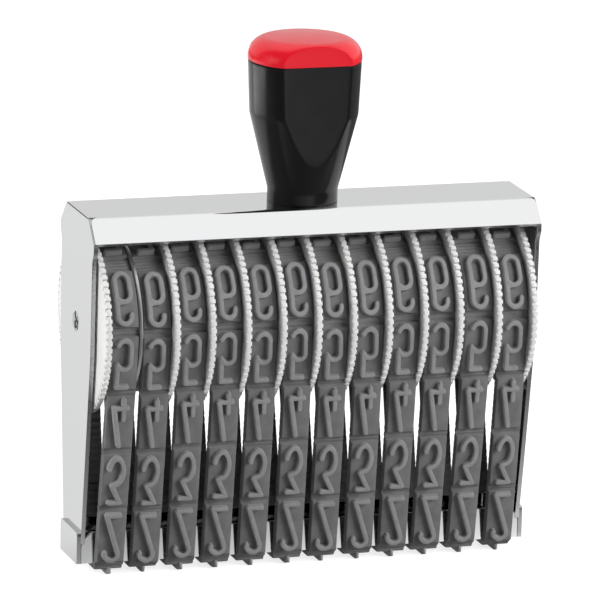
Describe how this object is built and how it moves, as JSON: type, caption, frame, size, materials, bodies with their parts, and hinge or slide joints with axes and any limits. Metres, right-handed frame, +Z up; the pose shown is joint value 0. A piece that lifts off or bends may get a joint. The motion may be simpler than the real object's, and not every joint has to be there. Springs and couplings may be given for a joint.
{
  "type": "numbering stamp",
  "caption": "Hand-held band numbering stamp: a folded sheet frame with a knob handle, toothed thumb wheels on one axle and rubber digit bands over a bottom bridge.",
  "frame": {"origin": "middle of the printing plane, under the middle of the bands", "axes": "+X along the axle towards the end with the spacer, +Y towards the rear, +Z up towards the handle's cap"},
  "size_m": [0.1302, 0.0508, 0.1478],
  "materials": {
    "plated_sheet": "polished plate",
    "steel": "bare steel",
    "white_plastic": "satin",
    "band_rubber": "matte",
    "black_plastic": "satin",
    "red_plastic": "gloss"
  },
  "bodies": {
    "stamp": {"frame": "plated_sheet", "bottom_bridge": "plated_sheet", "axle": "steel", "end_spacer": "steel", "handle_grip": "black_plastic", "handle_cap": "red_plastic", "handle_screw": "steel", "screw_washer": "steel", "digit_band_01": "band_rubber", "digit_band_02": "band_rubber", "digit_band_03": "band_rubber", "digit_band_04": "band_rubber", "digit_band_05": "band_rubber", "digit_band_06": "band_rubber", "digit_band_07": "band_rubber", "digit_band_08": "band_rubber", "digit_band_09": "band_rubber", "digit_band_10": "band_rubber", "digit_band_11": "band_rubber", "digit_band_12": "band_rubber"},
    "separator": {"separator_disc": "steel"},
    "wheel_01": {"number_wheel_01": "white_plastic"},
    "wheel_02": {"number_wheel_02": "white_plastic"},
    "wheel_03": {"number_wheel_03": "white_plastic"},
    "wheel_04": {"number_wheel_04": "white_plastic"},
    "wheel_05": {"number_wheel_05": "white_plastic"},
    "wheel_06": {"number_wheel_06": "white_plastic"},
    "wheel_07": {"number_wheel_07": "white_plastic"},
    "wheel_08": {"number_wheel_08": "white_plastic"},
    "wheel_09": {"number_wheel_09": "white_plastic"},
    "wheel_10": {"number_wheel_10": "white_plastic"},
    "wheel_11": {"number_wheel_11": "white_plastic"},
    "wheel_12": {"number_wheel_12": "white_plastic"}
  },
  "joints": [
    {"name": "wheel_01_spin", "type": "hinge", "parent": "stamp", "child": "wheel_01", "pos_m": [0, 0, 0.0702], "axis": [1, 0, 0], "continuous": true},
    {"name": "wheel_02_spin", "type": "hinge", "parent": "stamp", "child": "wheel_02", "pos_m": [0, 0, 0.0702], "axis": [1, 0, 0], "continuous": true},
    {"name": "wheel_03_spin", "type": "hinge", "parent": "stamp", "child": "wheel_03", "pos_m": [0, 0, 0.0702], "axis": [1, 0, 0], "continuous": true},
    {"name": "wheel_04_spin", "type": "hinge", "parent": "stamp", "child": "wheel_04", "pos_m": [0, 0, 0.0702], "axis": [1, 0, 0], "continuous": true},
    {"name": "wheel_05_spin", "type": "hinge", "parent": "stamp", "child": "wheel_05", "pos_m": [0, 0, 0.0702], "axis": [1, 0, 0], "continuous": true},
    {"name": "wheel_06_spin", "type": "hinge", "parent": "stamp", "child": "wheel_06", "pos_m": [0, 0, 0.0702], "axis": [1, 0, 0], "continuous": true},
    {"name": "wheel_07_spin", "type": "hinge", "parent": "stamp", "child": "wheel_07", "pos_m": [0, 0, 0.0702], "axis": [1, 0, 0], "continuous": true},
    {"name": "wheel_08_spin", "type": "hinge", "parent": "stamp", "child": "wheel_08", "pos_m": [0, 0, 0.0702], "axis": [1, 0, 0], "continuous": true},
    {"name": "wheel_09_spin", "type": "hinge", "parent": "stamp", "child": "wheel_09", "pos_m": [0, 0, 0.0702], "axis": [1, 0, 0], "continuous": true},
    {"name": "wheel_10_spin", "type": "hinge", "parent": "stamp", "child": "wheel_10", "pos_m": [0, 0, 0.0702], "axis": [1, 0, 0], "continuous": true},
    {"name": "wheel_11_spin", "type": "hinge", "parent": "stamp", "child": "wheel_11", "pos_m": [0, 0, 0.0702], "axis": [1, 0, 0], "continuous": true},
    {"name": "wheel_12_spin", "type": "hinge", "parent": "stamp", "child": "wheel_12", "pos_m": [0, 0, 0.0702], "axis": [1, 0, 0], "continuous": true},
    {"name": "separator_spin", "type": "hinge", "parent": "stamp", "child": "separator", "pos_m": [0, 0, 0.0702], "axis": [1, 0, 0], "continuous": true}
  ]
}
